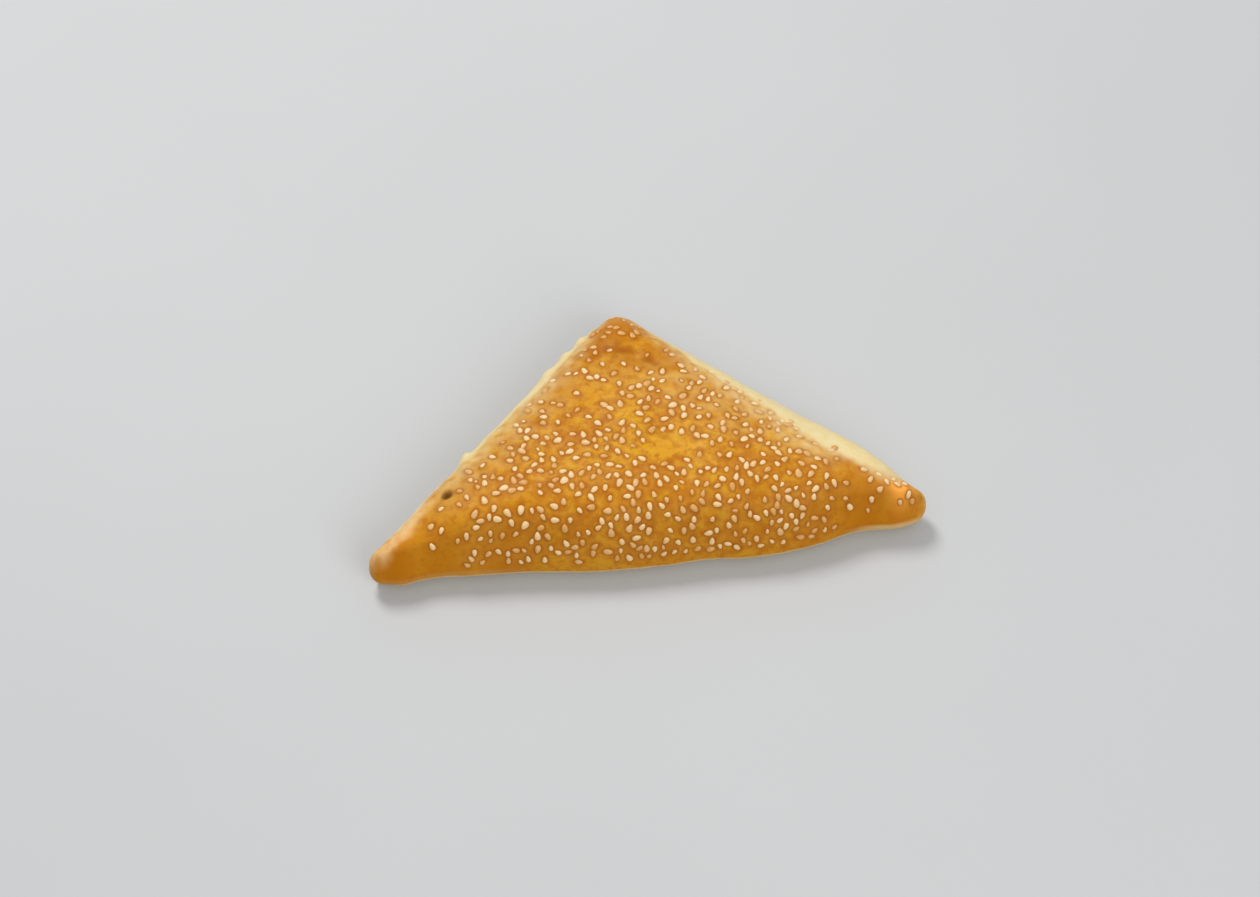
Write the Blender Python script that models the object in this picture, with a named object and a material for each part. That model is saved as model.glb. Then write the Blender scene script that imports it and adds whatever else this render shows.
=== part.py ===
"""A ham and cheese pastry: a square of soft dough folded corner to corner over its filling, sealed along the
two short sides, glazed with egg, strewn with sesame and baked.

Metres, +Z up. +X runs along the fold and +Y points at the apex, the corner between the two sealed sides.
The origin is the centre of the pastry's box, on the surface that it lies on. Plan points below are 2D
vectors from the heart, the centre of the circle that touches all three sides.
"""

import math
import random

import bmesh
import bpy
from mathutils import Matrix, Vector, noise

MM = 0.001

# Plan
HEART = Vector((0.10, -1.17)) * MM
INRADIUS = 42.67 * MM
BASE_ANGLE = math.radians(44.18)
APEX_RADIUS = 17.6 * MM
LEFT_TIP_RADIUS = 4.3 * MM
RIGHT_TIP_RADIUS = 4.33 * MM
BELLY = 6.7 * MM
BELLY_CENTRE = 24 * MM
BELLY_HALF_WIDTH = 114 * MM
RAGGED = 0.75 * MM
RAGGED_LENGTH = 8 * MM
LEG_SWELLS = (  # x, half length, and how far the rim stands out there
    (76.0, 50.0, 0.75),
    (69.0, 10.0, 1.1),
    (81.0, 14.0, 2.2),
    (98.0, 8.0, -0.4),
    (-60.8, 3.4, 1.8),
    (-19.5, 3.0, 0.9),
    (-27.0, 3.5, 0.7),
    (-11.0, 9.0, -1.2),
    (-13.0, 3.0, 1.3),
    (-3.0, 6.0, -0.9),
    (3.0, 9.0, 1.0),
)
FOLD_SWELLS = (
    (0.0, 130.0, 0.5),
    (90.0, 9.0, 0.8),
    (73.0, 14.0, -1.3),
    (44.0, 26.0, 1.4),
    (18.0, 12.0, -0.6),
    (-16.0, 16.0, 0.4),
    (-52.0, 30.0, -1.0),
    (-89.0, 7.0, 0.7),
    (-76.0, 12.0, -0.9),
)

# Height
TOP = 34.5 * MM
FOLD_SHOULDER = 20.5 * MM
LEG_SHOULDER = 20.0 * MM
FOLD_RISE = 25 * MM
LEG_RISE = 46 * MM
RIDGE_SOFTNESS = 9 * MM
FOLD_ROUND = 15 * MM
LEG_ROUND = 12 * MM
TIP_ROUND = 7 * MM
CORNER_ROUND = 7 * MM
TIP_START = -48 * MM
TIP_END = -78 * MM
RIM_TO_FOLD = 14 * MM

# The wall under the rim, as (inset from the rim, height): a round roll at the fold, and at the legs the two
# layers of dough with the pressed seam between them.
FOLD_WALL = ((0.0, 6.4), (0.3, 4.7), (1.1, 3.0), (2.3, 1.5), (4.0, 0.4), (6.2, 0.0))
LEG_WALL = ((0.0, 10.0), (0.9, 8.2), (1.9, 7.0), (0.9, 5.0), (1.5, 1.8), (4.2, 0.0))

# Surface
SWELLS = ((1.0 * MM, 31 * MM), (0.6 * MM, 12 * MM))
LOBES = (  # x, y, radius and height of each broad bump or, below 0, hollow of the crust
    (1.0, 40.5, 8.0, 1.6),
    (-6.0, 29.5, 5.0, -1.2),
    (6.0, 24.5, 5.5, -1.2),
    (10.5, -16.8, 12.0, -0.6),
    (-12.8, 9.5, 10.0, -0.6),
    (-82.0, -31.0, 12.0, -2.0),
    (90.0, -33.0, 8.0, -2.0),
    (87.0, -40.5, 5.0, 1.8),
    (69.0, -37.0, 8.0, -1.0),
)
PIT = Vector((-68.8, -21.0)) * MM
PIT_SIZE = (2.3 * MM, 1.9 * MM, 1.9 * MM)
ROWS = 18

# Sesame
SEED_SIZE = (3.0 * MM, 2.05 * MM, 1.5 * MM)
SEED_COUNT = 500
FUSED_SEEDS = 212
SEED_GAP = 2.6 * MM
SEED_SINK = 0.08
SEED_LEAN = 0.35  # how far the seeds turn to lie down the slope
PALE_BAND = 11.0 * MM
APEX_BAND = 4.0 * MM
BARE_PATCHES = ((10.5, -16.8, 10.5, 7.0), (-12.8, 10.0, 5.0, 7.0), (5.6, 22.3, 4.5, 4.0))
THINNER = (  # direction in plan, where the sesame starts and stops thinning out, and the share left over
    (0.0, 1.0, -15.0, 38.0, 0.25),
    (-1.0, 0.0, 22.0, 75.0, 0.12),
    (-1.0, 0.0, 72.0, 84.0, 0.0),
    (1.0, 0.0, 54.0, 70.0, 0.50),
)
STEEPEST = 3.0
RANDOM_SEED = 11

CRUST_COLOUR = (0.62, 0.29, 0.05, 1.0)

FOLD = Vector((0.0, -1.0))
LEFT_LEG = Vector((-math.sin(BASE_ANGLE), math.cos(BASE_ANGLE)))
RIGHT_LEG = Vector((math.sin(BASE_ANGLE), math.cos(BASE_ANGLE)))
SIDES = (FOLD, LEFT_LEG, RIGHT_LEG)
CORNERS = (
    (LEFT_LEG, RIGHT_LEG, APEX_RADIUS),
    (FOLD, LEFT_LEG, LEFT_TIP_RADIUS),
    (RIGHT_LEG, FOLD, RIGHT_TIP_RADIUS),
)


def blend(a, b, share):
    return a + (b - a) * share


def smooth_step(low, high, value):
    t = min(1.0, max(0.0, (value - low) / (high - low)))
    return t * t * (3 - 2 * t)


def soft_min(a, b, width):
    near = max(width - abs(a - b), 0.0) / width
    return min(a, b) - near * near * width / 4


def bump(value, centre, half_width):
    t = min(1.0, abs(value - centre) / half_width)
    return (1 - t * t) ** 2


def meeting(a, b, depth):
    """The point that lies the same depth inside two sides, given by their normals."""
    return (a + b) * (INRADIUS - depth) / (1 + a.dot(b))


def straightened(point):
    """The plan point with the fold's belly pushed flat, so that all three sides are straight."""
    belly = BELLY * bump(point.x, BELLY_CENTRE, BELLY_HALF_WIDTH)
    share = min(1.0, max(0.0, -point.y / INRADIUS))
    return Vector((point.x, point.y + belly * share))


def side_depths(point):
    """How far the point lies inside the fold, the left leg and the right leg."""
    flat = straightened(point)
    return [INRADIUS - side.dot(flat) for side in SIDES]


def corner_depth(point):
    """How far the point lies inside the three sides, with their corners rounded."""
    flat = straightened(point)
    fold, left, right = (INRADIUS - side.dot(flat) for side in SIDES)
    depth = min(fold, left, right)
    for a, b, radius in CORNERS:
        offset = flat - meeting(a, b, radius)
        turn = a.cross(b)
        if offset.cross(b) / turn > 0 and a.cross(offset) / turn > 0:
            depth = radius - offset.length
    return depth


def rim_swell(point, depth):
    """How far the swells and the ragged sealed edge push the rim out there; it fades inside the rim."""
    fold, left, right = side_depths(point)
    on_leg = 1 - fold_share(fold, left, right)
    on_left = smooth_step(-RIM_TO_FOLD, RIM_TO_FOLD, min(fold, right) - left)
    ragged = noise.noise(Vector((point.x, point.y, 0)) / RAGGED_LENGTH)
    out = RAGGED * ragged * blend(0.4, 1.0, on_left)
    for swells, share in ((LEG_SWELLS, on_leg), (FOLD_SWELLS, 1 - on_leg)):
        for centre, half_length, swell in swells:
            out += swell * MM * share * bump(point.x, centre * MM, half_length * MM)
    return out * (1 - smooth_step(0.0, FOLD_ROUND, depth))


def rim_depth(point):
    """How far the point lies inside the rim."""
    depth = corner_depth(point)
    return depth + rim_swell(point, depth)


def fold_share(fold, left, right):
    """1 along the fold, 0 along the legs, and between them round the tips."""
    return smooth_step(-RIM_TO_FOLD, RIM_TO_FOLD, min(left, right) - fold)


def reach(direction, depth):
    """How far from the heart, in that direction, the rim depth falls to the one given."""
    inside, outside = 0.0, 3 * INRADIUS
    for _ in range(32):
        middle = (inside + outside) / 2
        if rim_depth(direction * middle) > depth:
            inside = middle
        else:
            outside = middle
    return inside


def rounded(depth, radius):
    """From 0 at the rim to 1 once the depth has reached the radius, along a quarter circle."""
    return math.sqrt(1 - (1 - min(1.0, max(0.0, depth) / radius)) ** 2)


def crust_height(point):
    """Height of the upper crust over a plan point inside the rim: where three rounded slopes run together."""
    fold, left, right = side_depths(point)
    rim = blend(LEG_WALL[0][1], FOLD_WALL[0][1], fold_share(fold, left, right)) * MM
    depth = corner_depth(point)
    swell = rim_swell(point, depth)
    left_round = blend(LEG_ROUND, TIP_ROUND, smooth_step(TIP_START, TIP_END, point.x))
    slopes = []
    for side, shoulder, rise, radius in (
        (fold, FOLD_SHOULDER, FOLD_RISE, FOLD_ROUND),
        (left, LEG_SHOULDER, LEG_RISE, left_round),
        (right, LEG_SHOULDER, LEG_RISE, LEG_ROUND),
    ):
        slope = blend(shoulder, TOP, math.sin(math.pi / 2 * min(1.0, max(0.0, side + swell) / rise)))
        slopes.append(blend(rim, slope, rounded(side + swell, radius)))
    softness = RIDGE_SOFTNESS * min(1.0, max(0.02, (depth + swell) / TIP_ROUND))
    height = soft_min(soft_min(slopes[1], slopes[2], softness), slopes[0], softness)
    plain = rounded(min(fold, left, right) + swell, CORNER_ROUND)
    height = blend(rim, height, min(1.0, rounded(depth + swell, CORNER_ROUND) / max(plain, 0.01)))
    relief = 0.0
    for x, y, radius, lift in LOBES:
        distance = (point - Vector((x, y)) * MM).length / (radius * MM)
        relief += lift * MM * math.exp(-distance * distance)
    for lift, length in SWELLS:
        relief += lift * noise.noise(Vector((point.x, point.y, 7 * length)) / length)
    return height + relief * rounded(depth + swell, LEG_ROUND)


def placed(point, height):
    return Vector((HEART.x + point.x, HEART.y + point.y, height))


def wall_point(direction, level):
    """The point of the wall under the rim at one of its levels, from 0 at the rim to the last on the base."""
    rim = direction * reach(direction, 0.0)
    share = fold_share(*side_depths(rim))
    inset, height = (blend(a, b, share) * MM for a, b in zip(LEG_WALL[level], FOLD_WALL[level]))
    return placed(direction * reach(direction, inset), height)


def make_dough():
    """The body: six triangles round the heart, split evenly, drawn out to the rim and raised over a base."""
    mesh = bmesh.new()
    heart = mesh.verts.new((0, 0, 0))
    corners = [meeting(a, b, 0.0).to_3d() for a, b, _ in CORNERS]
    halfway = [(corner + after) / 2 for corner, after in zip(corners, corners[1:] + corners[:1])]
    around = [mesh.verts.new(spot) for pair in zip(corners, halfway) for spot in pair]
    for here, after in zip(around, around[1:] + around[:1]):
        mesh.faces.new((heart, here, after))
    bmesh.ops.subdivide_edges(mesh, edges=mesh.edges[:], cuts=ROWS - 1, use_grid_fill=True)
    ray = mesh.verts.layers.float_vector.new("ray")
    for vert in mesh.verts:
        flat = vert.co.to_2d()
        share = max(side.dot(flat) for side in SIDES) / INRADIUS
        direction = flat.normalized() if flat.length > 0 else FOLD.copy()
        vert[ray] = direction.to_3d()
        outward = blend(share, math.sin(math.pi / 2 * share), 0.6)
        point = direction * reach(direction, 0.0) * outward
        vert.co = placed(point, crust_height(point))
    ring = [edge for edge in mesh.edges if edge.is_boundary]
    for level in range(1, len(FOLD_WALL)):
        made = bmesh.ops.extrude_edge_only(mesh, edges=ring)["geom"]
        for vert in (item for item in made if isinstance(item, bmesh.types.BMVert)):
            vert.co = wall_point(vert[ray].to_2d(), level)
        ring = [item for item in made if isinstance(item, bmesh.types.BMEdge) and item.is_boundary]
    bmesh.ops.contextual_create(mesh, geom=ring)
    bmesh.ops.recalc_face_normals(mesh, faces=mesh.faces[:])
    data = bpy.data.meshes.new("pastry")
    mesh.to_mesh(data)
    mesh.free()
    return data


def crust_normal(point):
    step = 0.2 * MM
    here = crust_height(point)
    rise_x = (crust_height(point + Vector((step, 0))) - here) / step
    rise_y = (crust_height(point + Vector((0, step))) - here) / step
    return Vector((-rise_x, -rise_y, 1.0))


def sesame_share(point):
    """How thickly the crust is strewn, from 0 to 1."""
    fold, left, right = side_depths(point)
    pale = blend(APEX_BAND, PALE_BAND, smooth_step(4 * MM, 22 * MM, abs(point.x)))
    pale = blend(pale, 0.6 * MM, fold_share(fold, left, right))
    share = smooth_step(0.7 * pale, 1.2 * pale, rim_depth(point))
    for x, y, half_length, half_width in BARE_PATCHES:
        off = Vector(((point.x / MM - x) / half_length, (point.y / MM - y) / half_width)).length
        share *= smooth_step(0.75, 1.1, off)
    for x, y, start, end, left_over in THINNER:
        share *= blend(1.0, left_over, smooth_step(start * MM, end * MM, point.x * x + point.y * y))
    return share


def strewn_seeds():
    """Every seed as (plan point, size, spin, tilt), thrown at random and dropped where one lies too near."""
    draw = random.Random(RANDOM_SEED)
    half_length = INRADIUS / math.tan(BASE_ANGLE / 2)
    seeds, kept = [], []
    while len(seeds) < SEED_COUNT:
        point = Vector((draw.uniform(-half_length, half_length), draw.uniform(-1.3, 1.4) * INRADIUS))
        chance, size = draw.random(), draw.gauss(0.98, 0.13)
        spin, tilt = draw.uniform(0, math.tau), draw.gauss(0, 0.16)
        if rim_depth(point) <= 0.6 * MM:
            continue
        slope = crust_normal(point)
        if chance > sesame_share(point) * min(slope.length, STEEPEST) / STEEPEST:
            continue
        spot = placed(point, crust_height(point))
        if any((spot - other).length < SEED_GAP for other in kept):
            continue
        kept.append(spot)
        seeds.append((point, min(1.25, max(0.7, size)), spin, tilt))
    return seeds


def make_seed_shape():
    """One sesame seed lying along X: a low-sided drop, narrow at one end."""
    mesh = bmesh.new()
    bmesh.ops.create_uvsphere(mesh, u_segments=5, v_segments=3, radius=0.55)
    bmesh.ops.rotate(mesh, verts=mesh.verts, matrix=Matrix.Rotation(-math.pi / 2, 3, "Y"))
    for vert in mesh.verts:
        vert.co.y *= 1 - 0.7 * vert.co.x
        vert.co.x *= SEED_SIZE[0]
        vert.co.y *= SEED_SIZE[1]
        vert.co.z *= SEED_SIZE[2]
    data = bpy.data.meshes.new("seed")
    mesh.to_mesh(data)
    mesh.free()
    return data


def seed_matrix(point, size, spin, tilt):
    """Lays a seed on the crust, long side down, sunk a little into it."""
    normal = crust_normal(point).normalized()
    spin -= SEED_LEAN * math.sin(2 * spin)
    turned = normal.to_track_quat("Z", "X").to_matrix() @ Matrix.Rotation(spin, 3, "Z")
    turned = turned @ Matrix.Rotation(tilt, 3, "Y")
    centre = placed(point, crust_height(point)) - normal * SEED_SINK * SEED_SIZE[2] * size
    return Matrix.Translation(centre) @ turned.to_4x4() @ Matrix.Scale(size, 4)


def crust_material():
    material = bpy.data.materials.new("crust")
    material.use_nodes = True
    shader = material.node_tree.nodes["Principled BSDF"]
    shader.inputs["Base Color"].default_value = CRUST_COLOUR
    shader.inputs["Roughness"].default_value = 0.42
    shader.inputs["Metallic"].default_value = 0.0
    return material


def add_object(name, data, collection, matrix=None):
    item = bpy.data.objects.new(name, data)
    collection.objects.link(item)
    if matrix is not None:
        item.matrix_world = matrix
    return item


def apply_boolean(body, operation, collection):
    """Joins or cuts the body with every object of the collection, which is then removed."""
    modifier = body.modifiers.new(operation.lower(), "BOOLEAN")
    modifier.operation = operation
    modifier.operand_type = "COLLECTION"
    modifier.collection = collection
    modifier.solver = "EXACT"
    bpy.context.view_layer.update()
    graph = bpy.context.evaluated_depsgraph_get()
    joined = bpy.data.meshes.new_from_object(body.evaluated_get(graph))
    body.modifiers.clear()
    body.data = joined
    for item in list(collection.objects):
        bpy.data.objects.remove(item)
    bpy.data.collections.remove(collection)


def new_collection(name):
    collection = bpy.data.collections.new(name)
    bpy.context.scene.collection.children.link(collection)
    return collection


def cut_pit(body):
    """The small burst blister on the left leg's slope, cut out as a rounded dent."""
    tools = new_collection("pit")
    mesh = bmesh.new()
    bmesh.ops.create_icosphere(mesh, subdivisions=1, radius=1.0)
    data = bpy.data.meshes.new("pit")
    mesh.to_mesh(data)
    mesh.free()
    centre = Matrix.Translation(placed(PIT, crust_height(PIT)))
    turn = Matrix.Rotation(BASE_ANGLE, 4, "Z")
    add_object("pit_cutter", data, tools, centre @ turn @ Matrix.Diagonal((*PIT_SIZE, 1.0)))
    apply_boolean(body, "DIFFERENCE", tools)


def fuse_seeds(body):
    """The largest seeds, which lie evenly over the crust, joined to it in one union."""
    grains = new_collection("sesame")
    shape = make_seed_shape()
    largest = sorted(strewn_seeds(), key=lambda seed: -seed[1])[:FUSED_SEEDS]
    for number, seed in enumerate(largest):
        add_object(f"seed_{number:03d}", shape, grains, seed_matrix(*seed))
    apply_boolean(body, "UNION", grains)


def main():
    for item in list(bpy.data.objects):
        bpy.data.objects.remove(item)
    body = add_object("pastry", make_dough(), bpy.context.scene.collection)
    cut_pit(body)
    fuse_seeds(body)
    body.data.materials.clear()
    body.data.materials.append(crust_material())
    body.data.shade_smooth()
    body.data.set_sharp_from_angle(angle=math.radians(40))


main()
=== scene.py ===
"""A ham and cheese pastry: a square of soft dough folded corner to corner, sealed along two sides,
glazed with egg, strewn with sesame and baked golden. Metres, +Z up, in the frame of the solids."""

import math
import random

import bmesh
import bpy
import numpy as np
from mathutils import Matrix, Vector, noise


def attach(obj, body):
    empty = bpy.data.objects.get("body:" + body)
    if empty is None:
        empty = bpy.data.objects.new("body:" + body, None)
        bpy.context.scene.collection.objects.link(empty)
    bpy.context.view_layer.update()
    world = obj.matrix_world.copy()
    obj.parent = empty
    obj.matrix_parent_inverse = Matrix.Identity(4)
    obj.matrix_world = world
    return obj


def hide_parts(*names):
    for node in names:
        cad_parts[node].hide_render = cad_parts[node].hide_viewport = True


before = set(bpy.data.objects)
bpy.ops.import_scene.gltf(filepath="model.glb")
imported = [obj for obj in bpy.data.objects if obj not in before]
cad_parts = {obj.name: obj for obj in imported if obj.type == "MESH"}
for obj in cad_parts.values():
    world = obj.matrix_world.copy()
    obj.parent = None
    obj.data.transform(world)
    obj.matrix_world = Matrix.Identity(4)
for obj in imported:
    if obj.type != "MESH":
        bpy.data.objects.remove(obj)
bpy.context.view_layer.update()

MM = 0.001

# --------------------------------------------------------------------------------------------------
# The dough. One body of soft baked dough: thick and round along the fold in front, lower along the
# two sealed legs behind, whose two layers show as a pressed seam. Its rim is three straight sides
# eased into round corners; a net of small triangles is raised over it, then walled and closed.

HEART = (0.10 * MM, -1.17 * MM)
INRADIUS = 42.67 * MM
BASE_ANGLE = math.radians(44.18)
APEX_RADIUS = 17.6 * MM
LEFT_TIP_RADIUS = 4.3 * MM
RIGHT_TIP_RADIUS = 4.33 * MM
BELLY = 6.7 * MM
BELLY_CENTRE = 24 * MM
BELLY_HALF_WIDTH = 114 * MM
RAGGED = 0.75 * MM
RAGGED_LENGTH = 8 * MM
RAGGED_ELSEWHERE = 0.4
# Swells of the rim: place along x, half length and how far the rim stands out there, in mm.
LEG_SWELLS = (
    (76.0, 50.0, 0.75),
    (69.0, 10.0, 1.1),
    (81.0, 14.0, 2.2),
    (98.0, 8.0, -0.4),
    (-60.8, 3.4, 1.8),
    (-19.5, 3.0, 0.9),
    (-27.0, 3.5, 0.7),
    (-11.0, 9.0, -1.2),
    (-13.0, 3.0, 1.3),
    (-3.0, 6.0, -0.9),
    (3.0, 9.0, 1.0),
)
FOLD_SWELLS = (
    (0.0, 130.0, 0.5),
    (90.0, 9.0, 0.8),
    (73.0, 14.0, -1.3),
    (44.0, 26.0, 1.4),
    (18.0, 12.0, -0.6),
    (-16.0, 16.0, 0.4),
    (-52.0, 30.0, -1.0),
    (-89.0, 7.0, 0.7),
    (-76.0, 12.0, -0.9),
)
TOP = 34.5 * MM
FOLD_SHOULDER = 20.5 * MM
LEG_SHOULDER = 20.0 * MM
FOLD_RISE = 25 * MM
LEG_RISE = 46 * MM
RIDGE_SOFTNESS = 9 * MM
FOLD_ROUND = 15 * MM
LEG_ROUND = 12 * MM
TIP_ROUND = 7 * MM
CORNER_ROUND = 7 * MM
TIP_START = -48 * MM
TIP_END = -78 * MM
RIM_TO_FOLD = 14 * MM
FOLD_RIM = 6.4 * MM
LEG_RIM = 10.0 * MM
HALVINGS = 26
# Hills of the whole crust: height and how far apart they are.
SWELLS = ((1.0 * MM, 31 * MM), (0.6 * MM, 12 * MM))
SWELL_PATTERN = 7.0
# Single swellings and hollows of the crust: place, radius and lift, in mm.
LOBES = (
    (1.0, 40.5, 8.0, 1.6),
    (-6.0, 29.5, 5.0, -1.2),
    (6.0, 24.5, 5.5, -1.2),
    (10.5, -16.8, 12.0, -0.6),
    (-12.8, 9.5, 10.0, -0.6),
    (-82.0, -31.0, 12.0, -2.0),
    (90.0, -33.0, 8.0, -2.0),
    (87.0, -40.5, 5.0, 1.8),
    (69.0, -37.0, 8.0, -1.0),
)
LEAST_SOFTNESS = 0.02
LEAST_PLAIN = 0.01
ROWS = 136

SIDES = (
    (0.0, -1.0),
    (-math.sin(BASE_ANGLE), math.cos(BASE_ANGLE)),
    (math.sin(BASE_ANGLE), math.cos(BASE_ANGLE)),
)
CORNERS = ((1, 2, APEX_RADIUS), (0, 1, LEFT_TIP_RADIUS), (2, 0, RIGHT_TIP_RADIUS))


def smooth_step(low, high, value):
    """Eased from 0 where the value is low to 1 where it is high."""
    t = np.clip((value - low) / (high - low), 0.0, 1.0)
    return t * t * (3 - 2 * t)


def bump(value, centre, half_width):
    """Rises smoothly from 0 to 1 at the centre and falls back."""
    t = np.minimum(1.0, np.abs(value - centre) / half_width)
    return (1 - t * t) ** 2


def soft_min(a, b, width):
    near = np.maximum(width - np.abs(a - b), 0.0) / width
    return np.minimum(a, b) - near * near * width / 4


def hills(x, y, length, pattern=0.0):
    """Smooth noise from -1 to 1 over plan points, with hills about as far apart as the length. Each
    pattern number gives other hills."""
    spots = zip(x.ravel() / length, y.ravel() / length, np.broadcast_to(pattern, x.shape).ravel())
    return np.array([noise.noise(spot) for spot in spots]).reshape(x.shape)


def straightened(x, y):
    """Plan points with the fold's belly pressed in, so that its side is straight."""
    belly = BELLY * bump(x, BELLY_CENTRE, BELLY_HALF_WIDTH)
    return x, y + belly * np.clip(-y / INRADIUS, 0.0, 1.0)


def side_depths(x, y):
    """How far the points lie inside the fold, the left leg and the right leg."""
    flat_x, flat_y = straightened(x, y)
    return [INRADIUS - side[0] * flat_x - side[1] * flat_y for side in SIDES]


def fold_share(fold, left, right):
    """From 0 on the legs' side of the pastry to 1 on the fold's."""
    return smooth_step(-RIM_TO_FOLD, RIM_TO_FOLD, np.minimum(left, right) - fold)


def corner_depth(x, y):
    """How far the points lie inside the three sides, with their corners rounded."""
    flat_x, flat_y = straightened(x, y)
    fold, left, right = side_depths(x, y)
    depth = np.minimum(fold, np.minimum(left, right))
    for first, second, radius in CORNERS:
        a, b = SIDES[first], SIDES[second]
        reach_in = (INRADIUS - radius) / (1 + a[0] * b[0] + a[1] * b[1])
        off_x, off_y = flat_x - (a[0] + b[0]) * reach_in, flat_y - (a[1] + b[1]) * reach_in
        turn = a[0] * b[1] - a[1] * b[0]
        past_a = (off_x * b[1] - off_y * b[0]) / turn
        past_b = (a[0] * off_y - a[1] * off_x) / turn
        depth = np.where((past_a > 0) & (past_b > 0), radius - np.hypot(off_x, off_y), depth)
    return depth


def rim_swell(x, y, depth):
    """How far the swells and the ragged sealed edge push the rim out; it fades with the depth."""
    fold, left, right = side_depths(x, y)
    on_leg = 1 - fold_share(fold, left, right)
    on_left = smooth_step(-RIM_TO_FOLD, RIM_TO_FOLD, np.minimum(fold, right) - left)
    ragged_share = RAGGED_ELSEWHERE + (1 - RAGGED_ELSEWHERE) * on_left
    out = RAGGED * hills(x, y, RAGGED_LENGTH) * ragged_share
    for swells, share in ((LEG_SWELLS, on_leg), (FOLD_SWELLS, 1 - on_leg)):
        for centre, half_length, swell in swells:
            out = out + swell * MM * share * bump(x, centre * MM, half_length * MM)
    return out * (1 - smooth_step(0.0, FOLD_ROUND, depth))


def rim_depth(x, y):
    """How far the points lie inside the rim."""
    depth = corner_depth(x, y)
    return depth + rim_swell(x, y, depth)


def reach(angle, depth):
    """How far from the heart, at each angle, the rim depth falls to the one given."""
    inside, outside = np.zeros_like(angle), np.full_like(angle, 3 * INRADIUS)
    for _ in range(HALVINGS):
        middle = (inside + outside) / 2
        deeper = rim_depth(np.cos(angle) * middle, np.sin(angle) * middle) > depth
        inside, outside = np.where(deeper, middle, inside), np.where(deeper, outside, middle)
    return inside


def rounded(depth, radius):
    """From 0 at the rim to 1 once the depth has reached the radius, along a quarter circle."""
    return np.sqrt(1 - (1 - np.clip(depth / radius, 0.0, 1.0)) ** 2)


def crust_height(x, y):
    """Height of the upper crust over plan points: three rounded slopes that run together."""
    fold, left, right = side_depths(x, y)
    rim = LEG_RIM + (FOLD_RIM - LEG_RIM) * fold_share(fold, left, right)
    depth = corner_depth(x, y)
    swell = rim_swell(x, y, depth)
    left_round = LEG_ROUND + (TIP_ROUND - LEG_ROUND) * smooth_step(TIP_START, TIP_END, x)
    slopes = []
    for side, shoulder, rise, radius in (
        (fold, FOLD_SHOULDER, FOLD_RISE, FOLD_ROUND),
        (left, LEG_SHOULDER, LEG_RISE, left_round),
        (right, LEG_SHOULDER, LEG_RISE, LEG_ROUND),
    ):
        rising = np.sin(math.pi / 2 * np.clip((side + swell) / rise, 0.0, 1.0))
        slope = shoulder + (TOP - shoulder) * rising
        slopes.append(rim + (slope - rim) * rounded(side + swell, radius))
    softness = RIDGE_SOFTNESS * np.clip((depth + swell) / TIP_ROUND, LEAST_SOFTNESS, 1.0)
    dome = soft_min(soft_min(slopes[1], slopes[2], softness), slopes[0], softness)
    plain = rounded(np.minimum(fold, np.minimum(left, right)) + swell, CORNER_ROUND)
    closing = rounded(depth + swell, CORNER_ROUND) / np.maximum(plain, LEAST_PLAIN)
    dome = rim + (dome - rim) * np.minimum(1.0, closing)
    relief = np.zeros_like(dome)
    for lobe_x, lobe_y, radius, lift in LOBES:
        away = np.hypot(x - lobe_x * MM, y - lobe_y * MM) / (radius * MM)
        relief = relief + lift * MM * np.exp(-away * away)
    for lift, length in SWELLS:
        relief = relief + lift * hills(x, y, length, SWELL_PATTERN)
    return dome + relief * rounded(depth + swell, LEG_ROUND)


# The seeds' places, which the glaze round them needs. They are thrown at random, kept by how
# thickly each place is strewn, and dropped where one already lies too near.
RANDOM_SEED = 11
THROWS = 12000
THROWN_OVER = (-1.3, 1.4)  # along y, in inradii
SEED_COUNT = 500
SEED_SIZE = (3.0 * MM, 2.05 * MM, 1.5 * MM)
SIZE_SPREAD = (0.98, 0.13)
SMALLEST, LARGEST = 0.7, 1.25
TILT_SPREAD = 0.16
SEED_GAP = 2.6 * MM
SEED_SINK = 0.08
SEED_LEAN = 0.35
STEEPEST = 3.0
PROBE = 0.2 * MM
# Bands without seeds: their width along the legs, at the apex and along the fold, how far from the
# apex they widen, and how they end, in their own width.
PALE_BAND = 11.0 * MM
APEX_BAND = 4.0 * MM
FOLD_BAND = 0.6 * MM
BAND_WIDENS = (4 * MM, 22 * MM)
BAND_ENDS = (0.7, 1.2)
# Bare patches: place, half length and half width in mm, and how they end, in their own size.
BARE_PATCHES = ((10.5, -16.8, 10.5, 7.0), (-12.8, 10.0, 5.0, 7.0), (5.6, 22.3, 4.5, 4.0))
PATCH_ENDS = (0.75, 1.1)
# Where the strewing thins out: towards which x and y, from where to where in mm, and what is left.
THINNER = (
    (0.0, 1.0, -15.0, 38.0, 0.25),
    (-1.0, 0.0, 22.0, 75.0, 0.12),
    (-1.0, 0.0, 72.0, 84.0, 0.0),
    (1.0, 0.0, 54.0, 70.0, 0.50),
)


def crust_slope(x, y):
    here = crust_height(x, y)
    rise_x = (crust_height(x + PROBE, y) - here) / PROBE
    rise_y = (crust_height(x, y + PROBE) - here) / PROBE
    return here, rise_x, rise_y


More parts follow.
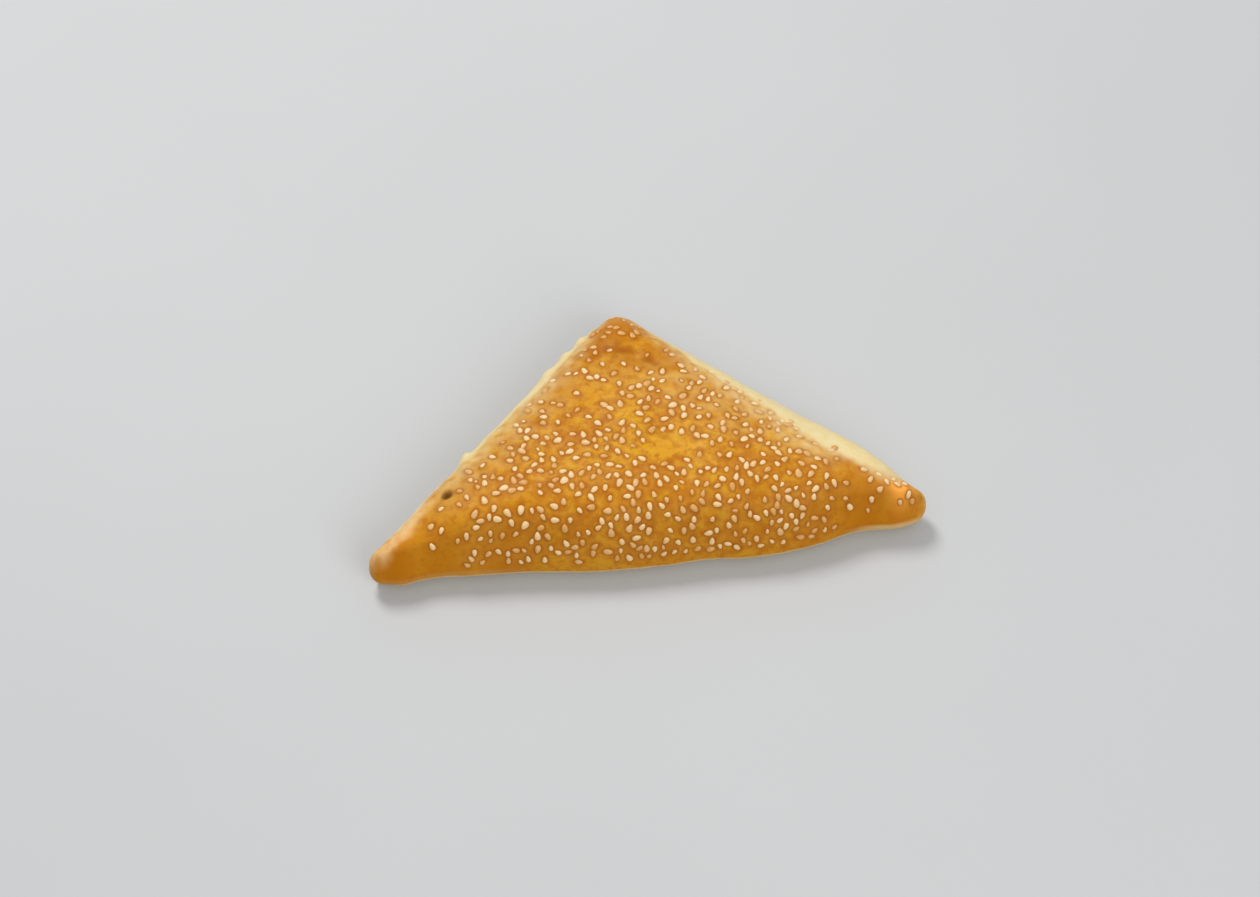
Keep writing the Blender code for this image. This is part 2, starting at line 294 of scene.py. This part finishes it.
def sesame_share(x, y):
    """How thickly each plan point is strewn, from 0 to 1."""
    fold, left, right = side_depths(x, y)
    bare = APEX_BAND + (PALE_BAND - APEX_BAND) * smooth_step(*BAND_WIDENS, np.abs(x))
    bare = bare + (FOLD_BAND - bare) * fold_share(fold, left, right)
    share = smooth_step(BAND_ENDS[0] * bare, BAND_ENDS[1] * bare, rim_depth(x, y))
    for patch_x, patch_y, half_length, half_width in BARE_PATCHES:
        off = np.hypot((x / MM - patch_x) / half_length, (y / MM - patch_y) / half_width)
        share = share * smooth_step(*PATCH_ENDS, off)
    for to_x, to_y, start, end, left_over in THINNER:
        thinned = smooth_step(start * MM, end * MM, x * to_x + y * to_y)
        share = share * (1 + (left_over - 1) * thinned)
    return share


draw = random.Random(RANDOM_SEED)
half_fold = INRADIUS / math.tan(BASE_ANGLE / 2)
throws = []
for _ in range(THROWS):
    spot = (draw.uniform(-half_fold, half_fold), draw.uniform(*THROWN_OVER) * INRADIUS)
    chance, size = draw.random(), draw.gauss(*SIZE_SPREAD)
    throws.append((*spot, chance, size, draw.uniform(0, math.tau), draw.gauss(0, TILT_SPREAD)))
throws = np.array(throws)
throws = throws[rim_depth(throws[:, 0], throws[:, 1]) > FOLD_BAND]
seed_z, seed_rise_x, seed_rise_y = crust_slope(throws[:, 0], throws[:, 1])
steepness = np.sqrt(1 + seed_rise_x**2 + seed_rise_y**2)
likely = sesame_share(throws[:, 0], throws[:, 1]) * np.minimum(steepness, STEEPEST) / STEEPEST
seeds = []
for number in np.flatnonzero(throws[:, 2] <= likely):
    x, y, _, size, spin, tilt = throws[number]
    spin -= SEED_LEAN * math.sin(2 * spin)
    centre = Vector((HEART[0] + x, HEART[1] + y, seed_z[number]))
    if len(seeds) < SEED_COUNT and all((centre - other[0]).length >= SEED_GAP for other in seeds):
        normal = Vector((-seed_rise_x[number], -seed_rise_y[number], 1.0)).normalized()
        seeds.append((centre, normal, min(LARGEST, max(SMALLEST, size)), spin, tilt))

# The wall under the rim, as insets and heights: a round roll at the fold; at the legs an upper and
# a lower layer of dough with the pressed seam between them, which wavers in depth.
LEVELS = 14
ROLL_INSET = 6.2 * MM
roll = np.linspace(0, math.pi / 2, LEVELS)
FOLD_WALL = np.column_stack((ROLL_INSET * (1 - np.cos(roll)), FOLD_RIM * (1 - np.sin(roll))))
LEG_WALL = np.array((
    (0.0, 10.0), (0.25, 9.3), (0.7, 8.5), (1.3, 7.8), (1.9, 7.3), (2.2, 6.9), (1.8, 6.4),
    (1.1, 5.6), (0.8, 4.7), (0.8, 3.7), (1.05, 2.6), (1.6, 1.5), (2.6, 0.5), (4.2, 0.0),
)) * MM
SEAM_LEVELS = range(3, 8)
SEAM_WAVER = 0.6
SEAM_LENGTH = 5 * MM
SEAM_PATTERN = 3.0
BEARINGS = 2881
RIM_CROWDING = 0.6

dough_mesh = bmesh.new()
middle = dough_mesh.verts.new((0, 0, 0))
tips = []
for first, second, _ in CORNERS:
    a, b = Vector(SIDES[first]), Vector(SIDES[second])
    tips.append(((a + b) * INRADIUS / (1 + a.dot(b))).to_3d())
halfway = [(tip + after) / 2 for tip, after in zip(tips, tips[1:] + tips[:1])]
around = [dough_mesh.verts.new(spot) for pair in zip(tips, halfway) for spot in pair]
for here, after in zip(around, around[1:] + around[:1]):
    dough_mesh.faces.new((middle, here, after))
bmesh.ops.subdivide_edges(dough_mesh, edges=dough_mesh.edges[:], cuts=ROWS - 1, use_grid_fill=True)
level_layer = dough_mesh.verts.layers.int.new("level")
ray_layer = dough_mesh.verts.layers.float_vector.new("ray")
for vert in dough_mesh.verts:
    vert[ray_layer] = vert.co
ring = [edge for edge in dough_mesh.edges if edge.is_boundary]
for level in range(1, LEVELS):
    made = bmesh.ops.extrude_edge_only(dough_mesh, edges=ring)["geom"]
    for vert in (item for item in made if isinstance(item, bmesh.types.BMVert)):
        vert[level_layer] = level
        vert.co.z = -level * MM
    ring = [item for item in made if isinstance(item, bmesh.types.BMEdge) and item.is_boundary]
bmesh.ops.contextual_create(dough_mesh, geom=ring)
bmesh.ops.recalc_face_normals(dough_mesh, faces=dough_mesh.faces[:])


def finished_mesh(name, mesh):
    data = bpy.data.meshes.new(name)
    mesh.to_mesh(data)
    mesh.free()
    return data


def shown(name, data):
    """A mesh, lamp or camera as an object of the scene, at the origin."""
    made = bpy.data.objects.new(name, data)
    bpy.context.scene.collection.objects.link(made)
    return made


def read_points(data, name, size):
    layer = data.attributes[name].data
    values = np.zeros(len(layer) * size)
    layer.foreach_get("vector" if size == 3 else "value", values)
    return values.reshape(-1, size) if size == 3 else values


crust_data = finished_mesh("crust", dough_mesh)
ray = read_points(crust_data, "ray", 3)
level = read_points(crust_data, "level", 1).astype(int)
crust_data.attributes.remove(crust_data.attributes["ray"])
crust_data.attributes.remove(crust_data.attributes["level"])
gauge = np.max([ray[:, 0] * side[0] + ray[:, 1] * side[1] for side in SIDES], axis=0) / INRADIUS
angle = np.arctan2(ray[:, 1], ray[:, 0])
bearings = np.linspace(-math.pi, math.pi, BEARINGS)
rim_table = reach(bearings, 0.0)
rim_x, rim_y = np.cos(bearings) * rim_table, np.sin(bearings) * rim_table
on_fold = fold_share(*side_depths(rim_x, rim_y))
seam_press = 1 + SEAM_WAVER * hills(rim_x, rim_y, SEAM_LENGTH, SEAM_PATTERN)
outward = gauge + RIM_CROWDING * (np.sin(math.pi / 2 * gauge) - gauge)
far = np.interp(angle, bearings, rim_table) * outward
height = np.zeros(len(far))
for step in range(1, LEVELS):
    leg_inset = LEG_WALL[step, 0] * (seam_press if step in SEAM_LEVELS else 1.0)
    inset = leg_inset + (FOLD_WALL[step, 0] - leg_inset) * on_fold
    drop = LEG_WALL[step, 1] + (FOLD_WALL[step, 1] - LEG_WALL[step, 1]) * on_fold
    here = level == step
    far[here] = np.interp(angle[here], bearings, reach(bearings, inset))
    height[here] = np.interp(angle[here], bearings, drop)
plan_x, plan_y = np.cos(angle) * far, np.sin(angle) * far
upper = level == 0
height[upper] = crust_height(plan_x[upper], plan_y[upper])

# How near each point of the crust is to a seed, where the glaze creeps up and browns, with a brown
# ring at each seed's foot, partly pooled glaze and partly painted shade under the seed; and how
# many seeds crowd round it, where the crust is paler: partly thinner glaze, partly painted sheen.
NEAR_REACH = 5 * MM
CROWD_REACH = 7 * MM
HALO_START, HALO_WIDTH = 0.9, 0.75
halo, near, crowd = np.zeros(len(far)), np.zeros(len(far)), np.zeros(len(far))
for centre, normal, size, spin, tilt in seeds:
    lie = np.array(normal.to_track_quat("Z", "X").to_matrix() @ Matrix.Rotation(spin, 3, "Z"))
    off_x, off_y = HEART[0] + plan_x - centre.x, HEART[1] + plan_y - centre.y
    off = np.column_stack((off_x, off_y, height - centre.z))
    close = np.flatnonzero(upper & (np.abs(off).max(axis=1) < CROWD_REACH))
    off = off[close] @ lie
    away = np.linalg.norm(off, axis=1)
    crowd[close] += bump(away, 0.0, CROWD_REACH)
    near[close] = np.maximum(near[close], 1 - away / NEAR_REACH)
    oval = np.hypot(off[:, 0] / SEED_SIZE[0], off[:, 1] / SEED_SIZE[1]) / (0.5 * size)
    rising = 1 - np.clip((oval - HALO_START) / HALO_WIDTH, 0.0, 1.0)
    halo[close] = np.maximum(halo[close], rising)

# Skin relief: soft dimples, a fine grain, the glaze creeping up the seeds and one burst blister.
DIMPLES = ((0.24 * MM, 5.5 * MM, 1.0), (0.08 * MM, 2.2 * MM, 2.0))
CREEP = 0.2 * MM
SKIN_STARTS = 3 * MM
PIT = (-68.8 * MM, -21.0 * MM)
PIT_RADIUS = 2.1 * MM
PIT_DEPTH = 1.5 * MM
deep = rim_depth(plan_x, plan_y)
skin = CREEP * halo * halo
for lift, length, pattern in DIMPLES:
    skin = skin + lift * hills(plan_x, plan_y, length, pattern)
away = np.hypot(plan_x - PIT[0], plan_y - PIT[1])
pit = upper * np.exp(-(away / PIT_RADIUS) ** 4)
height += upper * smooth_step(0, SKIN_STARTS, deep) * skin - PIT_DEPTH * pit

crust_points = np.column_stack((HEART[0] + plan_x, HEART[1] + plan_y, height))
crust_data.vertices.foreach_set("co", crust_points.ravel())
crust_data.update()
crust_data.shade_smooth()
crust = shown("crust", crust_data)

# How the crust coloured, as shares from 0 to 1 over its points. A mottle is a middle value, a swing
# to either side, how far apart its hills are and their pattern; the edges of the colours wander.
WANDER = ((1.6 * MM, 8 * MM, 5.0), (0.8 * MM, 2.5 * MM, 6.0))
LEG_EASE = (0.4, 0.0)
# "Baked" is where it baked darkest: the tips, under the apex and the foot of the fold, as place,
# radius and share. The last two spots only make the left slope darker.
BAKED = (
    (1.0, 44.0, 15.0, 0.8), (17.0, 24.0, 8.0, 0.8), (-16.0, 22.0, 8.0, 0.5), (0.0, 22.0, 8.0, 0.5),
    (24.0, 10.0, 9.0, 0.5), (-90.0, -41.0, 14.0, 0.95), (-74.0, -42.0, 18.0, 0.8),
    (-52.0, -44.0, 16.0, 0.85), (94.0, -42.0, 16.0, 0.3), (76.0, -44.0, 16.0, 0.9),
    (56.0, -46.0, 14.0, 0.6), (70.0, -27.0, 8.0, 0.8), (-10.0, -46.0, 18.0, 0.2),
    (88.0, -47.0, 9.0, 0.95), (-24.0, 17.0, 15.0, 0.5), (-60.0, -24.0, 14.0, 0.35),
)
FOOT_BAKED = (0.32, 26 * MM, 5 * MM)
# A russet line along the hollow under the apex, partly browned crust and partly painted shade in
# the hollow, as the line that it follows, in mm.
CREASE = (
    (-15, 29.5), (-11, 31), (-4, 31.8), (0, 29.5), (6, 25.5), (11, 22), (16, 20.5), (20, 19.5),
)
CREASE_WIDTH = 4.5 * MM
CREASE_SPAN = (1 * MM, 24 * MM)
CREASE_MOTTLE = (0.75, 1.0, 4 * MM, 9.0)
# "Pale" is the torn-open dough that the glaze never reached: how far in from each leg it goes along
# x, in mm, then how it ends; beyond it, a paler haze, partly thin glaze, partly painted sheen.
RIGHT_BAND = (
    (0, 2), (8, 3), (18, 6.2), (26, 9.2), (39, 10.6), (50, 11), (60, 12.4), (66, 12.4),
    (70, 10.6), (74, 9), (83, 8.5), (88, 6.5), (92, 3),
)
LEFT_BAND = ((-75, 1), (-62, 4.5), (-50, 5), (-40, 5), (-30, 7), (-20, 7), (-12, 5.5), (-4, 2))
BAND_EDGE = (-2.5 * MM, 2.0 * MM)
HAZE = 0.35
HAZE_LOSS = (0.25, 55 * MM, 70 * MM)
HAZE_EDGE = (-9 * MM, 0.0)
HAZE_MOTTLE = (1.0, 1.6, 3 * MM, 17.0)
# The legs' very rim is pale as well; the left tip and, a little, the apex are glazed all round, and
# under the fold the glaze ends low on the roll. That pale foot is partly bare dough and partly
# painted bounce light along the bottom edge.
PALE_RIM = (3.6 * MM, 1.8 * MM)
GLAZED_TIP = (-97 * MM, -80 * MM)
GLAZED_APEX = (0.16, 14 * MM, 18 * MM)
PALE_FOOT = (0.8, 5.9 * MM, 4.0 * MM)
# A pale edge low under both tips, partly bare dough and partly painted bounce light along the
# bottom: its share along x, and how high it goes.
RIGHT_EDGE = (0.55, 66 * MM, 82 * MM)
LEFT_EDGE = (0.12, -42 * MM, -56 * MM)
EDGE_TOP = (8.2 * MM, 6.4 * MM)
EDGE_WANDER = 0.3
# Paler crust, partly where the glaze lies thin and partly painted sheen, the whitish gleam of the
# glaze: on both upper slopes, at the apex and among crowded seeds.
FAIR_LEFT = (0.46, 28 * MM, 7 * MM)
FAIR_RIGHT = (0.48, 46 * MM, 10 * MM)
FAIR_APEX = (0.42, 41 * MM, 50 * MM)
FAIR_STARTS, FAIR_ENDS, FAIR_TOP = (-80 * MM, -62 * MM), (74 * MM, 60 * MM), (36 * MM, 8 * MM)
FAIR_CROWD = 0.022
FAIR_MOTTLE = (0.85, 1.3, 4 * MM, 13.0)
# "Lip" is the left tip's rim of dry dough; the bright orange spot on the right tip's top is a
# painted highlight, where the tip catches the light.
LIP_REACH, LIP_STARTS, LIP_FOOT = (9.6 * MM, 6.6 * MM), (-70 * MM, -82 * MM), (0.5 * MM, 4.5 * MM)
LIP_MOTTLE = (0.85, 0.5, 2.2 * MM, 15.0)
HIGHLIGHT_SPOT = (88.5 * MM, -40.5 * MM)
HIGHLIGHT_RADIUS = 3.6 * MM
# "Lips" are the two coloured edges of the seam, in levels of the wall, and "sole" the underside
# that lay on the tray, in shares of the levels.
UPPER_LIP, LOWER_LIP = (1.0, 2.5), (8.5, 3.5)
LOWER_LIP_SHARE = 0.9
SEAM_MOTTLE = (0.6, 0.5, 9 * MM, 11.0)
SOLE_LEVELS = (0.80, 0.97)
SOLE_MOTTLE = (0.0, 0.8, 7 * MM, 12.0)


def eased(share, low, high, value):
    return share * smooth_step(low, high, value)


def traced(line):
    """How far a line reaches at each point's x, from its corners in mm."""
    return np.interp(plan_x / MM, *zip(*line)) * MM


def mottled(middle, swing, length, pattern):
    return middle + swing * hills(plan_x, plan_y, length, pattern)


fold, left, right = side_depths(plan_x, plan_y)
share = fold_share(fold, left, right)
on_leg = smooth_step(*LEG_EASE, share)
wander = np.zeros(len(far))
for swing, length, pattern in WANDER:
    wander += mottled(0.0, swing, length, pattern + height / length)

baked = eased(*FOOT_BAKED, fold)
for spot_x, spot_y, radius, strength in BAKED:
    away = np.hypot(plan_x - spot_x * MM, plan_y - spot_y * MM) / (radius * MM)
    baked = np.maximum(baked, strength * np.exp(-away * away))
crease_russet_and_shade = np.exp(-((plan_y - traced(CREASE)) / CREASE_WIDTH) ** 2) * bump(plan_x, *CREASE_SPAN)
crease_russet_and_shade = crease_russet_and_shade * mottled(*CREASE_MOTTLE)

band = np.where(plan_x > 0, traced(RIGHT_BAND) - right, traced(LEFT_BAND) - left) + wander
haze = (HAZE - eased(*HAZE_LOSS, plan_x)) * mottled(*HAZE_MOTTLE)
pale = np.maximum(smooth_step(*BAND_EDGE, band), haze * smooth_step(*HAZE_EDGE, band))
pale = np.maximum(pale * (1 - share), on_leg * smooth_step(*PALE_RIM, deep + wander))
pale = np.where(upper, pale, np.maximum(pale, on_leg)) * smooth_step(*GLAZED_TIP, plan_x)
# Pale foot under the fold and pale edge under the tips: partly bare dough, partly painted bounce
# light.
pale = np.maximum(pale, np.where(upper, 0.0, eased(*PALE_FOOT, height)))
pale *= 1 - GLAZED_APEX[0] * upper * bump(plan_x, *GLAZED_APEX[1:])
edge = eased(*RIGHT_EDGE, plan_x) + eased(*LEFT_EDGE, plan_x)
pale = np.maximum(pale, edge * smooth_step(*EDGE_TOP, height + EDGE_WANDER * wander))

# Paler crust on the upper slopes, at the apex and among crowded seeds: partly thin glaze, partly
# painted sheen.
thin_glaze_and_sheen = np.maximum(eased(*FAIR_LEFT, left), eased(*FAIR_RIGHT, right))
thin_glaze_and_sheen *= (1 - share) * mottled(*FAIR_MOTTLE) * smooth_step(*FAIR_STARTS, plan_x)
thin_glaze_and_sheen *= smooth_step(*FAIR_ENDS, plan_x) * smooth_step(*FAIR_TOP, plan_y)
thin_glaze_and_sheen = np.maximum(thin_glaze_and_sheen, eased(*FAIR_APEX, plan_y)) + FAIR_CROWD * crowd
lip = mottled(*LIP_MOTTLE) * smooth_step(*LIP_REACH, left + wander)
lip *= smooth_step(*LIP_STARTS, plan_x) * smooth_step(*LIP_FOOT, fold)
tip_highlight = np.exp(-((plan_x - HIGHLIGHT_SPOT[0]) ** 2 + (plan_y - HIGHLIGHT_SPOT[1]) ** 2) / HIGHLIGHT_RADIUS**2)

lips = bump(level, *UPPER_LIP) + LOWER_LIP_SHARE * bump(level, *LOWER_LIP)
lips *= (1 - share) * mottled(*SEAM_MOTTLE)
lips = np.where(upper, 0.0, lips)
sole = smooth_step(*SOLE_LEVELS, (level + mottled(*SOLE_MOTTLE)) / (LEVELS - 1))
for name, values in {
    "pale": pale, "halo": halo, "pit": pit, "baked": baked, "near": near, "crease_russet_and_shade": crease_russet_and_shade,
    "lips": lips, "sole": sole, "thin_glaze_and_sheen": thin_glaze_and_sheen, "tip_highlight": tip_highlight, "lip": lip,
}.items():
    layer = crust_data.attributes.new(name, "FLOAT", "POINT")
    layer.data.foreach_set("value", values.astype(np.float32))


class Flow:
    """A number or colour on its way through a finish; sums on it add the nodes that work it out."""

    def __init__(self, finish, socket):
        self.finish = finish
        self.socket = socket

    def worked(self, operation, first, second):
        made = self.finish.node("ShaderNodeMath", {"operation": operation}, {0: first, 1: second})
        return Flow(self.finish, made.outputs[0])

    def __add__(self, other):
        return self.worked("ADD", self, other)

    def __radd__(self, other):
        return self.worked("ADD", other, self)

    def __sub__(self, other):
        return self.worked("SUBTRACT", self, other)

    def __rsub__(self, other):
        return self.worked("SUBTRACT", other, self)

    def __mul__(self, other):
        return self.worked("MULTIPLY", self, other)

    def __rmul__(self, other):
        return self.worked("MULTIPLY", other, self)

    def clamped(self, low, high):
        """Eased from 0 at the low value to 1 at the high one."""
        sockets = {"Value": self, "From Min": low, "From Max": high}
        made = self.finish.node("ShaderNodeMapRange", {"interpolation_type": "SMOOTHSTEP"}, sockets)
        return Flow(self.finish, made.outputs["Result"])


class Finish:
    """A material and the few kinds of node that the finishes here are made of."""

    def __init__(self, name, **constants):
        self.material = bpy.data.materials.new(name)
        self.material.use_nodes = True
        self.nodes = self.material.node_tree.nodes
        self.links = self.material.node_tree.links
        self.shader = self.nodes["Principled BSDF"]
        for socket, value in constants.items():
            self.shader.inputs[socket.replace("_", " ")].default_value = value

    def node(self, kind, settings, sockets):
        made = self.nodes.new(kind)
        for name, value in settings.items():
            setattr(made, name, value)
        for name, value in sockets.items():
            self.feed(made.inputs[name], value)
        return made

    def feed(self, socket, value):
        if isinstance(value, Flow):
            self.links.new(value.socket, socket)
        else:
            socket.default_value = value

    def give(self, socket, value):
        """Feeds one of the shader's own sockets."""
        self.feed(self.shader.inputs[socket], value)

    def place(self):
        return Flow(self, self.node("ShaderNodeTexCoord", {}, {}).outputs["Object"])

    def attribute(self, name):
        made = self.node("ShaderNodeAttribute", {"attribute_name": name}, {})
        return Flow(self, made.outputs["Fac"])

    def cloud(self, length, detail=3.0, rough=0.55):
        """Noise from 0 to 1 with blots about as far apart as the length."""
        sockets = {"Vector": self.place(), "Scale": 1 / length}
        sockets.update({"Detail": detail, "Roughness": rough})
        return Flow(self, self.node("ShaderNodeTexNoise", {}, sockets).outputs["Fac"])

    def mixed(self, factor, first, second):
        """Two colours by their factor; a Mix node has its colours on sockets 6 and 7."""
        made = self.node("ShaderNodeMix", {"data_type": "RGBA"}, {0: factor, 6: first, 7: second})
        return Flow(self, made.outputs[2])

    def bumped(self, height, distance, strength):
        sockets = {"Height": height, "Distance": distance, "Strength": strength}
        return Flow(self, self.node("ShaderNodeBump", {}, sockets).outputs["Normal"])


GOLD = (0.59, 0.262, 0.016, 1)
AMBER = (0.46, 0.165, 0.004, 1)
BROWN = (0.33, 0.095, 0.004, 1)
STRAW = (0.72, 0.40, 0.045, 1)
DOUGH = (0.73, 0.61, 0.33, 1)
CHAR = (0.12, 0.045, 0.004, 1)
BISCUIT = (0.62, 0.36, 0.10, 1)
SOLE = (0.38, 0.17, 0.04, 1)
BAKED_GOLD = (0.435, 0.14, 0.001, 1)
RUSSET = (0.34, 0.10, 0.004, 1)
OCHRE = (0.62, 0.33, 0.010, 1)
BURNT = (0.38, 0.112, 0.003, 1)
BISQUE = (0.62, 0.385, 0.125, 1)
HIGHLIGHT_APRICOT = (1.0, 0.40, 0.06, 1)
PEACH = (0.71, 0.41, 0.155, 1)
GLAZE_ROUGHNESS = 0.40
BARE_ROUGHER = 0.30
FRECKLE_ROUGHER = 0.10
GLAZE_COAT = 0.02
GRAIN_DEPTH = 0.25 * MM
GRAIN_STRENGTH = 0.7

glaze = Finish("glazed_crust", Specular_IOR_Level=0.05, Coat_Roughness=0.25)
blotches = glaze.cloud(22 * MM, 4.0)
patches = glaze.cloud(4.5 * MM, 4.0, 0.6)
flecks = glaze.cloud(3.2 * MM, 2.0, 0.5)
freckles = glaze.cloud(1.8 * MM, 3.0, 0.6)
crumb = glaze.cloud(3 * MM, 5.0, 0.65)
bare = glaze.attribute("pale")
# Each colour goes over those before it, by its amount.
skin_colour = GOLD
for amount, colour in (
    ((blotches * 0.2 + patches * 0.7 + glaze.attribute("near") * 0.38).clamped(0.47, 0.71), AMBER),
    ((1 - blotches).clamped(0.45, 0.70) * 0.3, STRAW),
    (flecks.clamped(0.52, 0.66) * 0.55, OCHRE),
    ((1 - flecks).clamped(0.52, 0.68) * 0.6, BURNT),
    (freckles.clamped(0.48, 0.70) * 0.4, BROWN),
    (glaze.attribute("baked"), BAKED_GOLD),
    (glaze.attribute("thin_glaze_and_sheen"), BISQUE),
    # A painted highlight on the right tip's top.
    (glaze.attribute("tip_highlight"), HIGHLIGHT_APRICOT),
    (glaze.attribute("lip"), PEACH),
    # Russet along the hollow under the apex: partly browning, partly painted shade.
    ((glaze.attribute("crease_russet_and_shade") * 1.1).clamped(0.0, 1.0), RUSSET),
    # A brown ring round each seed's foot: partly pooled glaze, partly painted shade under the seed.
    (glaze.attribute("halo") * (freckles * 0.9 + 0.45), BROWN),
):
    skin_colour = glaze.mixed(amount, skin_colour, colour)
dough_colour = DOUGH
for amount, colour in (
    (crumb.clamped(0.35, 0.7) * 0.2 + patches.clamped(0.4, 0.7) * 0.15, STRAW),
    (glaze.attribute("lips") * 0.45, BISCUIT),
    (glaze.attribute("sole") * (0.75 + patches * 0.25), SOLE),
):
    dough_colour = glaze.mixed(amount, dough_colour, colour)
skin_colour = glaze.mixed(bare, skin_colour, dough_colour)
skin_colour = glaze.mixed(glaze.attribute("pit"), skin_colour, CHAR)
rough = GLAZE_ROUGHNESS + bare * BARE_ROUGHER + freckles * FRECKLE_ROUGHER
grain = glaze.cloud(0.9 * MM, 4.0, 0.6) * 0.6 + glaze.cloud(3.5 * MM, 3.0) * 0.4
grain = grain * (1 + bare * 0.4 + glaze.attribute("lip") * 1.6)
glaze.give("Base Color", skin_colour)
glaze.give("Roughness", rough)
glaze.give("Coat Weight", (1 - bare) * GLAZE_COAT)
glaze.give("Normal", glaze.bumped(grain, GRAIN_DEPTH, GRAIN_STRENGTH))
crust_data.materials.append(glaze.material)
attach(crust, "root")
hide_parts("pastry")

# --------------------------------------------------------------------------------------------------
# The sesame. Hulled white seeds, each a flat drop 3 mm long, bedded in the glaze at every angle and
# toasted to cream on top; joined in one mesh, each seed carrying its own share of toasting.

SHAPE_SEED = 5
TAPER = (0.35, 0.8)
PLUMP = (0.9, 1.12)
APEX_TOAST = (0.6, 20 * MM, 34 * MM)

seed_mesh = bmesh.new()
toast_layer = seed_mesh.verts.layers.float.new("toast")
shape_draw = random.Random(SHAPE_SEED)
for centre, normal, size, spin, tilt in seeds:
    ball = bmesh.ops.create_uvsphere(seed_mesh, u_segments=8, v_segments=6, radius=0.5)
    taper, plump = shape_draw.uniform(*TAPER), shape_draw.uniform(*PLUMP)
    toast = shape_draw.random() + float(eased(*APEX_TOAST, centre.y))
    turned = Matrix.Rotation(spin, 3, "Z") @ Matrix.Rotation(tilt, 3, "Y")
    lie = normal.to_track_quat("Z", "X").to_matrix() @ turned
    bed = centre - normal * SEED_SINK * SEED_SIZE[2] * size
    for vert in ball["verts"]:
        across, up, along = vert.co.x, vert.co.y, -vert.co.z
        across *= (1 - taper * along) * plump
        drop = Vector((along * SEED_SIZE[0], across * SEED_SIZE[1], up * SEED_SIZE[2])) * size
        vert.co = bed + lie @ drop
        vert[toast_layer] = toast
bmesh.ops.recalc_face_normals(seed_mesh, faces=seed_mesh.faces[:])
seed_data = finished_mesh("sesame", seed_mesh)
seed_data.shade_smooth()
sesame = shown("sesame", seed_data)

CREAM = (0.77, 0.535, 0.265, 1)
TOASTED = (0.60, 0.30, 0.075, 1)
HUSK_DEPTH = 0.06 * MM
HUSK_STRENGTH = 0.6
husk = Finish("toasted_seed", Roughness=0.45, Specular_IOR_Level=0.4)
toasting = (husk.attribute("toast") * 0.8 + husk.cloud(1.2 * MM) * 0.5).clamped(0.32, 1.1)
husk.give("Base Color", husk.mixed(toasting, CREAM, TOASTED))
husk.give("Normal", husk.bumped(husk.cloud(0.35 * MM), HUSK_DEPTH, HUSK_STRENGTH))
seed_data.materials.append(husk.material)
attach(sesame, "root")

# --------------------------------------------------------------------------------------------------
# The table, the light and the camera: a pale floor, one broad soft light from behind on the left, a
# weaker and broader one in front, and a camera that looks down at the pastry.

TABLE_SIZE = 3.0
TABLE_BLOTS = 0.3
TABLE_COLOURS = ((0.47, 0.47, 0.465, 1), (0.51, 0.51, 0.505, 1))
SKY = (0.93, 0.96, 1.0, 1)
SKY_STRENGTH = 0.6
# Name, place, width and power in watts; all point at the origin.
LIGHTS = (
    ("back_light", (-0.28, 0.66, 1.15), 0.4, 11.5),
    ("front_light", (0.5, -1.1, 0.9), 1.0, 9.3),
)
ELEVATION, AZIMUTH = math.radians(56), math.radians(-8.76)
DISTANCE = 1.0123
LOOK_AT = Vector((-0.18, 3.42, 0)) * MM
SENSOR_WIDTH = 36
LENS = 79.66

floor_mesh = bmesh.new()
bmesh.ops.create_grid(floor_mesh, x_segments=1, y_segments=1, size=TABLE_SIZE)
floor_data = finished_mesh("table", floor_mesh)
floor = shown("table", floor_data)
table = Finish("pale_table", Roughness=0.8, Specular_IOR_Level=0.2)
table.give("Base Color", table.mixed(table.cloud(TABLE_BLOTS), *TABLE_COLOURS))
floor_data.materials.append(table.material)

for name, spot, width, power in LIGHTS:
    lamp_data = bpy.data.lights.new(name, "AREA")
    lamp_data.shape = "DISK"
    lamp_data.size = width
    lamp_data.energy = power
    lamp = shown(name, lamp_data)
    lamp.location = spot
    lamp.rotation_euler = Vector(spot).to_track_quat("Z", "Y").to_euler()

world = bpy.data.worlds.new("studio")
world.use_nodes = True
world.node_tree.nodes["Background"].inputs["Color"].default_value = SKY
world.node_tree.nodes["Background"].inputs["Strength"].default_value = SKY_STRENGTH
bpy.context.scene.world = world
bpy.context.scene.view_settings.view_transform = "Standard"

level_back = Vector((math.sin(AZIMUTH), -math.cos(AZIMUTH), 0)) * math.cos(ELEVATION)
back = level_back + Vector((0, 0, math.sin(ELEVATION)))
camera_data = bpy.data.cameras.new("camera")
camera_data.sensor_width = SENSOR_WIDTH
camera_data.lens = LENS
camera = shown("camera", camera_data)
camera.location = LOOK_AT + back * DISTANCE
camera.rotation_euler = back.to_track_quat("Z", "Y").to_euler()
bpy.context.scene.camera = camera
